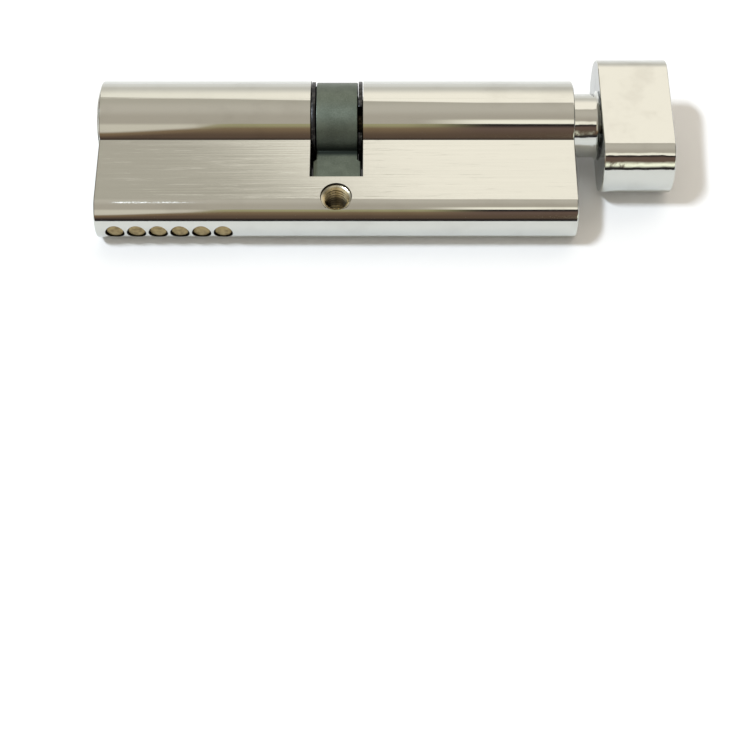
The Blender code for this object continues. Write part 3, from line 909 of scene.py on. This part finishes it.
def wind_up(piece, axis, pitch, turns, steps):
    """Winds a piece's outline about an axis with a Screw modifier."""
    winding = piece.modifiers.new("winding", "SCREW")
    winding.axis = axis
    winding.angle = 2 * math.pi
    winding.screw_offset = pitch
    winding.iterations = turns
    winding.steps = steps
    winding.render_steps = steps
    bpy.ops.object.modifier_apply(modifier=winding.name)


tap = start_outline("tap", THREAD_MINOR, 0, -TAP_REACH - THREAD_PITCH)
line_by(0, 0, THREAD_PITCH * TOOTH_FOOT)
line_by(THREAD_MAJOR - THREAD_MINOR, 0, THREAD_PITCH * TOOTH_FLANK)
line_by(0, 0, THREAD_PITCH * TOOTH_CREST)
line_by(THREAD_MINOR - THREAD_MAJOR, 0, THREAD_PITCH * TOOTH_FLANK)
bpy.ops.object.mode_set(mode="OBJECT")
wind_up(tap, "Z", THREAD_PITCH, TAP_TURNS, 64)
bpy.ops.object.mode_set(mode="EDIT")
weld(TAP_WELD)
bpy.ops.mesh.select_all(action="SELECT")
bpy.ops.mesh.bisect(plane_co=(0, 0, -TAP_REACH), plane_no=(0, 0, 1), use_fill=True, clear_inner=True)
bpy.ops.mesh.select_all(action="SELECT")
bpy.ops.mesh.bisect(plane_co=(0, 0, TAP_REACH), plane_no=(0, 0, 1), use_fill=True, clear_outer=True)
face_outwards()
bpy.ops.object.mode_set(mode="OBJECT")
print("tap:", len(tap.data.polygons), "faces,", [round(side / MM, 2) for side in tap.dimensions], "mm")

# %% [markdown]
# Then the tap's shape is cut out of the tail. The mouth's wall and the corner at its foot take the
# near-black brass, as painted shade in that recess.

# %% Tap the hole and finish the body
SHOULDER_RADIUS = 2.8 * MM

cut(body, stand(tap, 0, -HOLE_DOWN), tapped_brass)
bare = body.data.materials.find("tapped_brass")
shaded_index = body.data.materials.find("painted_shade_brass")
# The mouth's wall and the corner at its foot get the painted-shade brass.
for face in body.data.polygons:
    from_axis = Vector((face.center.x, face.center.y + HOLE_DOWN)).length
    if face.material_index == bare and from_axis > SHOULDER_RADIUS:
        face.material_index = shaded_index
seat(body, "body", "cylinder_body")

# %% [markdown]
# ## Plugs
#
# Each plug is a bar turned to a head, a long shank and a grooved nose. The one with the keyway stands a
# little proud of the body's end.

# %% Turn the keyed plug
PLUG_RADIUS = 6.5 * MM
PLUG_HEAD_RADIUS = 7.2 * MM
PLUG_HEAD_LENGTH = 1.5 * MM
PLUG_PROUD = 0.4 * MM
PLUG_EDGE = 0.12 * MM
END_FACING = 0.999
NOSE_RADIUS = 5.6 * MM
GROOVE_RADIUS = 4.9 * MM
GROOVE = (4.0 * MM, 4.9 * MM)
SHOULDER = 5.2 * MM
KEYED_TIP = -1.3 * MM


def plug_corners(side, tip):
    """A plug's nose, shank and the start of its head, from the tip outwards."""
    return [
        (tip, NOSE_RADIUS),
        (side * GROOVE[0], NOSE_RADIUS),
        (side * GROOVE[0], GROOVE_RADIUS),
        (side * GROOVE[1], GROOVE_RADIUS),
        (side * GROOVE[1], NOSE_RADIUS),
        (side * SHOULDER, NOSE_RADIUS),
        (side * SHOULDER, PLUG_RADIUS),
        (side * (HALF_LENGTH - PLUG_HEAD_LENGTH), PLUG_RADIUS),
        (side * (HALF_LENGTH - PLUG_HEAD_LENGTH), PLUG_HEAD_RADIUS),
    ]


def plate_plug(piece, skin):
    """This plate outside, turned plate on the faces square to the axis and near-black painted-shade brass
    on the nose.
    """
    coat(piece, skin, turned_plate, painted_shade_brass)
    for face in piece.data.polygons:
        if abs(face.center.x) < SHOULDER:
            face.material_index = 2
        elif abs(face.normal.x) > END_FACING:
            face.material_index = 1


plug_front = -HALF_LENGTH - PLUG_PROUD
keyed_corners = plug_corners(-1, KEYED_TIP) + [(plug_front, PLUG_HEAD_RADIUS)]
keyed_plug = turned("keyed_plug", keyed_corners, 128, PLUG_EDGE)
plate_plug(keyed_plug, polished_plate)
print("keyed plug:", [round(side / MM, 2) for side in keyed_plug.dimensions], "mm")

# %% [markdown]
# Its keyway is cut with a solid of the keyway's own section, with a ward on each side that lets only the
# right blade in. Six holes take the pins, and one along the axis takes the pin that works the coupling.

# %% Cut the keyway and drill the keyed plug
PLUG_DRILL = (1.0 * MM, 9 * MM)
KEYWAY_START = (3.9 * MM, -1.3 * MM)
KEYWAY_END = -8.5 * MM
PUSHER_BORE = (KEYWAY_END - 1 * MM, 0.7 * MM)
PUSHER_BORE_RADIUS = 1.6 * MM
KEYWAY_STROKES = [
    (0, 2.6),
    (-2.1, 0),
    (0, -0.8),
    (-1.2, 0),
    (0, 0.8),
    (-5.5, 0),
    (0, -2.6),
    (2.0, 0),
    (0, 0.8),
    (1.2, 0),
    (0, -0.8),
]

keyway = start_outline("keyway_cutter", plug_front - PAST, *KEYWAY_START)
for up, across in KEYWAY_STROKES:
    line_by(0, up * MM, across * MM)
push_out(KEYWAY_END - plug_front + PAST)
bpy.ops.object.mode_set(mode="OBJECT")
cut(keyed_plug, keyway, cut_brass)
for x in PIN_PLACES:
    drill = rod("plug_drill", PLUG_DRILL, CHAMBER_RADIUS, 48)
    cut(keyed_plug, stand(drill, x, turn=DOWN_THE_TAIL), painted_shade_brass)
cut(keyed_plug, rod("pusher_drill", PUSHER_BORE, PUSHER_BORE_RADIUS, 48), painted_shade_brass)
seat(keyed_plug, "key_plug", "key_plug")

# %% [markdown]
# The thumbturn's plug has the same nose, but its head carries a neck that flares out towards the knob,
# and a thinner spindle that the knob sits on. The flare is a quarter circle, drawn as short chords. A
# slot across the nose holds the coupling dog and a hole behind it the spring.

# %% Thumbturn plug
TURN_TIP = -1.0 * MM
NECK_RADIUS = 6.1 * MM
NECK_END = 49.9 * MM
SPINDLE_RADIUS = 4.0 * MM
SPINDLE_END = 58.9 * MM
FLARE = 0.6 * MM
FLARE_STEPS = 6
DOG_SLOT_HALF = 1.5 * MM
DOG_SLOT_END = 3.4 * MM
SPRING_BORE = (TURN_TIP, 10.1 * MM)
SPRING_BORE_RADIUS = 1.45 * MM

turn_corners = plug_corners(1, TURN_TIP)
turn_corners += [(HALF_LENGTH, PLUG_HEAD_RADIUS), (HALF_LENGTH, NECK_RADIUS)]
for step in range(FLARE_STEPS + 1):
    swing = step / FLARE_STEPS * math.pi / 2
    out = FLARE * (1 - math.cos(swing))
    turn_corners.append((NECK_END - FLARE + FLARE * math.sin(swing), NECK_RADIUS + out))
turn_corners += [(NECK_END, SPINDLE_RADIUS), (SPINDLE_END, SPINDLE_RADIUS)]
turn_plug = turned("thumbturn_plug", turn_corners, 128, PLUG_EDGE)
plate_plug(turn_plug, cast_plate)
dog_slot_low = (TURN_TIP - PAST, -DOG_SLOT_HALF, -PLUG_RADIUS)
dog_slot_high = (DOG_SLOT_END, DOG_SLOT_HALF, PLUG_RADIUS)
cut(turn_plug, block("dog_slot_cutter", dog_slot_low, dog_slot_high), painted_shade_brass)
cut(turn_plug, rod("spring_drill", SPRING_BORE, SPRING_BORE_RADIUS, 48), painted_shade_brass)
seat(turn_plug, "thumbturn", "turn_plug", KNOB_TURN)

# %% [markdown]
# ## Knob
#
# The knob is held between finger and thumb, so it is a bar with two flats, bowed ends and soft corners
# between them. Half of its outline is three arcs, and the other half is the same strokes carried on
# round. The rims are softened, the back face takes the rougher plate with painted shade in its colour,
# and two holes are drilled: one for the spindle and one under it for a set screw.

# %% Knob
KNOB_BACK = 50.2 * MM
KNOB_FRONT = 63.7 * MM
KNOB_HALF_SPAN = 14.2 * MM
KNOB_HALF_THICKNESS = 6.5 * MM
KNOB_END_RADIUS = 7.0 * MM
KNOB_CORNER_RADIUS = 4.8 * MM
KNOB_RIM = 0.25 * MM
SPINDLE_BORE = (KNOB_BACK - PAST, 59.2 * MM)
SPINDLE_BORE_RADIUS = 4.1 * MM
SET_SCREW_X = 54.55 * MM
SCREW_BORE = (0, 9 * MM)
SCREW_BORE_RADIUS = 2.05 * MM
UNDER_THE_KNOB = (0, math.pi / 2, 0)

bow = KNOB_HALF_SPAN - KNOB_END_RADIUS
rise = KNOB_HALF_THICKNESS - KNOB_CORNER_RADIUS
end_lean = math.asin(rise / (KNOB_END_RADIUS - KNOB_CORNER_RADIUS))
reach = bow + rise / math.tan(end_lean)
knob = start_outline("knob_shell", KNOB_BACK, reach, -KNOB_HALF_THICKNESS)
for side in (1, -1):
    arc_by(math.pi / 2 - end_lean, 16, side * reach, -side * rise)
    arc_by(2 * end_lean, 48, side * bow)
    arc_by(math.pi / 2 - end_lean, 16, side * reach, side * rise)
    if side == 1:
        line_by(0, -2 * reach)
push_out(KNOB_FRONT - KNOB_BACK)
round_ends(knob, KNOB_BACK, KNOB_FRONT, KNOB_RIM)
coat(knob, cast_plate, dull_shaded_plate)
# The back face takes the rougher plate, darkened as painted shade.
for face in knob.data.polygons:
    if face.normal.x < -END_FACING:
        face.material_index = 1
cut(knob, rod("spindle_drill", SPINDLE_BORE, SPINDLE_BORE_RADIUS, 96), cut_brass)
screw_hole = rod("set_screw_drill", SCREW_BORE, SCREW_BORE_RADIUS, 64)
cut(knob, stand(screw_hole, SET_SCREW_X, turn=UNDER_THE_KNOB), cut_brass)
seat(knob, "thumbturn", "thumbturn_knob", KNOB_TURN)

# %% [markdown]
# The set screw is a short headless screw with a hexagon socket, driven up against the spindle.

# %% Set screw
SET_SCREW = (4.15 * MM, 6.25 * MM)
SET_SCREW_RADIUS = 1.95 * MM
SET_SCREW_EDGE = 0.2 * MM
SOCKET = (5.05 * MM, 9 * MM)
SOCKET_RADIUS = 1.1 * MM

set_screw = rod("knob_set_screw", SET_SCREW, SET_SCREW_RADIUS, 64, SET_SCREW_EDGE)
coat(set_screw, blackened_steel)
cut(set_screw, rod("hexagon_socket", SOCKET, SOCKET_RADIUS, 6), blackened_steel)
stand(set_screw, SET_SCREW_X, turn=UNDER_THE_KNOB)
seat(set_screw, "thumbturn", "knob_grub_screw", KNOB_TURN)

# %% [markdown]
# ## Cam
#
# The cam is a ring with one lug. Pressing from powder gives it soft fillets where the lug leaves the ring
# and a lug that widens near its tip. The outline is drawn as arcs and lines and pushed out; two cuts
# across the lug give rows of points, and moving the outer row sideways makes the wider tip.

# %% Draw the cam and push it out
CAM_RADIUS = 8.2 * MM
CAM_HALF = 3.9 * MM
LUG_HALF = 2.3 * MM
LUG_REACH = 14.9 * MM
LUG_FILLET = 0.3 * MM
LUG_SPREAD = 0.6 * MM
LUG_STEP = (-9.8 * MM, -10.4 * MM)
CAM_EDGE = 0.14 * MM
SHARP = math.radians(50)


def soften_sharp_edges(width, segments):
    """Bevels the sharp edges of the piece in edit mode, and leaves edit mode."""
    bpy.ops.mesh.select_mode(type="EDGE")
    bpy.ops.mesh.select_all(action="DESELECT")
    bpy.ops.mesh.edges_select_sharp(sharpness=SHARP)
    bpy.ops.mesh.bevel(offset=width, segments=segments, affect="EDGES")
    bpy.ops.object.mode_set(mode="OBJECT")


lug_tip = math.asin(LUG_HALF / LUG_REACH)
fillet_z = LUG_HALF + LUG_FILLET
fillet_lean = math.asin(fillet_z / (CAM_RADIUS + LUG_FILLET))
fillet_y = -fillet_z / math.tan(fillet_lean)
ring_end = math.pi - fillet_lean
ring_y = CAM_RADIUS * math.cos(ring_end)
ring_z = CAM_RADIUS * math.sin(ring_end)
cam = start_outline("drive_cam", -CAM_HALF, ring_y, -ring_z)
arc_by(2 * ring_end, 128)
arc_by(fillet_lean - math.pi / 2, 10, fillet_y, fillet_z)
line_by(0, -LUG_REACH * math.cos(lug_tip) - fillet_y)
arc_by(2 * lug_tip, 12)
line_by(0, LUG_REACH * math.cos(lug_tip) + fillet_y)
arc_by(fillet_lean - math.pi / 2, 10, fillet_y, -fillet_z)
push_out(2 * CAM_HALF)
for y in LUG_STEP:
    bpy.ops.mesh.select_all(action="SELECT")
    bpy.ops.mesh.bisect(plane_co=(0, y, 0), plane_no=(0, 1, 0))
for side in (-1, 1):
    pick(cam, "VERT", lambda co: co.y < LUG_STEP[1] + WELD and co.x * side > 0)
    bpy.ops.transform.translate(value=(side * LUG_SPREAD, 0, 0))
soften_sharp_edges(CAM_EDGE, 3)
coat(cam, phosphated_iron)
print("cam:", [round(side / MM, 2) for side in cam.dimensions], "mm")

# %% [markdown]
# The bore fits round the noses of both plugs and widens into a recess on the thumbturn's side. A notch
# across the narrower part takes both ends of the coupling dog. They come free when the dog is pushed back
# into the recess.

# %% Bore and notch the cam
CAM_BORE_RADIUS = 5.75 * MM
CAM_RECESS_RADIUS = 7.0 * MM
WEB_END = 1.2 * MM
NOTCH_HALF = 1.5 * MM
NOTCH_REACH = 6.85 * MM
BESIDE_CAM = 8 * MM

cam_bore = [
    (-BESIDE_CAM, CAM_BORE_RADIUS),
    (WEB_END, CAM_BORE_RADIUS),
    (WEB_END, CAM_RECESS_RADIUS),
    (BESIDE_CAM, CAM_RECESS_RADIUS),
]
cut(cam, turned("cam_bore_cutter", cam_bore, 128), phosphated_iron)
notch_low = (-BESIDE_CAM, -NOTCH_HALF, -NOTCH_REACH)
notch_high = (WEB_END, NOTCH_HALF, NOTCH_REACH)
cut(cam, block("dog_notch_cutter", notch_low, notch_high), phosphated_iron)
seat(cam, "cam", "cam", KNOB_TURN)

# %% [markdown]
# ## Spring clips
#
# A flat clip snapped into the groove of each nose keeps the plug in. It is an open ring stamped from
# spring steel, so two arcs and two short lines draw it.

# %% Clips
CLIP_RADIUS = 8.4 * MM
CLIP_INNER_RADIUS = 5.0 * MM
CLIP_OPENING = math.radians(34)
CLIP_EDGE = 0.07 * MM
KEY_CLIP = (-4.8 * MM, -4.1 * MM)
KEY_CLIP_OPENS = math.radians(-62)
TURN_CLIP = (4.1 * MM, 4.8 * MM)
TURN_CLIP_OPENS = math.radians(30)


def make_clip(name, ends, opens_to, body_name, node, turn):
    """An open ring. opens_to is the middle of its opening, from +Z towards the tail."""
    start, end = ends
    first = math.pi / 2 + opens_to + CLIP_OPENING / 2
    sweep = 2 * math.pi - CLIP_OPENING
    last = first + sweep
    clip = start_outline(name, start, CLIP_RADIUS * math.cos(first), CLIP_RADIUS * math.sin(first))
    arc_by(sweep, 112)
    gap = CLIP_INNER_RADIUS - CLIP_RADIUS
    line_by(0, gap * math.cos(last), gap * math.sin(last))
    arc_by(-sweep, 112)
    push_out(end - start)
    soften_sharp_edges(CLIP_EDGE, 2)
    coat(clip, blackened_steel)
    seat(clip, body_name, node, turn)


make_clip("key_side_clip", KEY_CLIP, KEY_CLIP_OPENS, "key_plug", "key_plug_clip", 0.0)
make_clip("turn_side_clip", TURN_CLIP, TURN_CLIP_OPENS, "thumbturn", "turn_plug_clip", KNOB_TURN)

# %% [markdown]
# ## Coupling
#
# Inside the cam a small steel dog couples it to the thumbturn. A spring holds the dog forward, and a pin
# in the keyed plug can push it back. The dog is a bar with softened edges and the pin a rod with rounded
# ends.

# %% Coupling dog and pusher
DOG_LOW = (-1.0 * MM, -1.35 * MM, -6.7 * MM)
DOG_HIGH = (0.8 * MM, 1.35 * MM, 6.7 * MM)
DOG_EDGE = 0.18 * MM
PUSHER = (-8.3 * MM, -1.3 * MM)
PUSHER_RADIUS = 1.5 * MM
PUSHER_EDGE = 0.3 * MM

dog = block("coupling_dog", DOG_LOW, DOG_HIGH)
bpy.ops.object.mode_set(mode="EDIT")
bpy.ops.mesh.select_all(action="SELECT")
bpy.ops.mesh.bevel(offset=DOG_EDGE, segments=3, affect="EDGES")
bpy.ops.object.mode_set(mode="OBJECT")
coat(dog, blackened_steel)
seat(dog, "clutch_dog", "clutch_dog", KNOB_TURN)

pusher = rod("coupling_pusher", PUSHER, PUSHER_RADIUS, 48, PUSHER_EDGE)
coat(pusher, blackened_steel)
seat(pusher, "clutch_pusher", "clutch_pusher")

# %% [markdown]
# ## Springs
#
# A coil is a small circle wound about an axis, which is what a Screw modifier does. The open ends of the
# wire are filled. As the pin or the dog in front of it moves, each spring is pressed towards its fixed
# end.

# %% Wind the coupling spring
COIL_RADIUS = 1.15 * MM
WIRE_RADIUS = 0.2 * MM
COIL_TURNS = 7


def wind(name, start, end):
    """A coil about X that reaches from start to end."""
    bpy.ops.mesh.primitive_circle_add(vertices=12, radius=WIRE_RADIUS)
    coil = stand(bpy.context.object, start + WIRE_RADIUS, COIL_RADIUS)
    coil.name = name
    coil.data.name = name
    wind_up(coil, "X", (end - start - 2 * WIRE_RADIUS) / COIL_TURNS, COIL_TURNS, 32)
    bpy.ops.object.mode_set(mode="EDIT")
    bpy.ops.mesh.select_mode(type="EDGE")
    weld()
    bpy.ops.mesh.select_all(action="DESELECT")
    bpy.ops.mesh.select_non_manifold()
    bpy.ops.mesh.edge_face_add()
    face_outwards()
    bpy.ops.object.mode_set(mode="OBJECT")
    coat(coil, drawn_wire)
    return coil


spring_start = 1.05 * MM
spring_end = 9.85 * MM
coupling_spring = wind("coupling_spring", spring_start, spring_end)
seat(coupling_spring, "thumbturn", "clutch_spring", KNOB_TURN)
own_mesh(coupling_spring)

# %% [markdown]
# ## Pin stacks
#
# Each of the six chambers holds a pointed pin in the plug, a plain driver pin in the body, a spring and a
# stopper pressed in from the tail. The pointed pins differ in length, because each matches a cut of its
# own. The drivers are alike, so one is turned and copied. All are turned about X, then stood down the
# tail at their place.

# %% Pins
PIN_RADIUS = 1.5 * MM
PIN_EDGE = 0.2 * MM
PIN_SOFTNESS = 0.06 * MM
POINT_RADIUS = 0.5 * MM
POINT_LENGTH = 0.9 * MM
KEY_CUTS = (1, 3, 2, 4, 0, 2)
CUT_STEP = 0.45 * MM
SHORTEST_PIN = 2.9 * MM
PIN_FOOT = 6.3 * MM
DRIVER_TOP = 6.8 * MM
DRIVER_FOOT = 11.55 * MM


def copy_of(piece, name):
    """A copy with a mesh of its own."""
    twin = piece.copy()
    twin.data = piece.data.copy()
    twin.name = name
    twin.data.name = name
    bpy.context.scene.collection.objects.link(twin)
    return twin


driver_corners = [
    (DRIVER_TOP, PIN_RADIUS - PIN_EDGE),
    (DRIVER_TOP + PIN_EDGE, PIN_RADIUS),
    (DRIVER_FOOT - PIN_EDGE, PIN_RADIUS),
    (DRIVER_FOOT, PIN_RADIUS - PIN_EDGE),
]
driver = turned("driver_master", driver_corners, 48, PIN_SOFTNESS)
coat(driver, bare_brass)
for number, (x, key_cut) in enumerate(zip(PIN_PLACES, KEY_CUTS), 1):
    point = PIN_FOOT - SHORTEST_PIN - key_cut * CUT_STEP
    pin_corners = [
        (point, POINT_RADIUS),
        (point + POINT_LENGTH, PIN_RADIUS),
        (PIN_FOOT - PIN_EDGE, PIN_RADIUS),
        (PIN_FOOT, PIN_RADIUS - PIN_EDGE),
    ]
    pin = turned(f"lower_pin_{number}", pin_corners, 48, PIN_SOFTNESS)
    coat(pin, bare_brass)
    stand(pin, x, turn=DOWN_THE_TAIL)
    seat(pin, f"key_pin_{number}", f"key_pin_{number}")
    upper = copy_of(driver, f"upper_pin_{number}")
    stand(upper, x, turn=DOWN_THE_TAIL)
    seat(upper, f"driver_pin_{number}", f"driver_pin_{number}")
bpy.data.objects.remove(driver)

# %% [markdown]
# Springs and stoppers are alike in every chamber too, so one of each is made and copied. A spring stands
# on its stopper, and that end stays put while the driver pin presses the other end down.

# %% Pin springs and stoppers
STOPPER = (22.05 * MM, 24.05 * MM)
STOPPER_RADIUS = 1.58 * MM
STOPPER_EDGE = 0.12 * MM
PIN_SPRING = (11.8 * MM, 21.8 * MM)

stopper = rod("stopper_master", STOPPER, STOPPER_RADIUS, 48, STOPPER_EDGE)
coat(stopper, bare_brass)
pin_coil = wind("coil_master", *PIN_SPRING)
for number, x in enumerate(PIN_PLACES, 1):
    closer = copy_of(stopper, f"chamber_stopper_{number}")
    stand(closer, x, turn=DOWN_THE_TAIL)
    seat(closer, "body", f"chamber_plug_{number}")
    spring = copy_of(pin_coil, f"pin_coil_{number}")
    stand(spring, x, turn=DOWN_THE_TAIL)
    seat(spring, "body", f"pin_spring_{number}")
    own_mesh(spring)
bpy.data.objects.remove(stopper)
bpy.data.objects.remove(pin_coil)
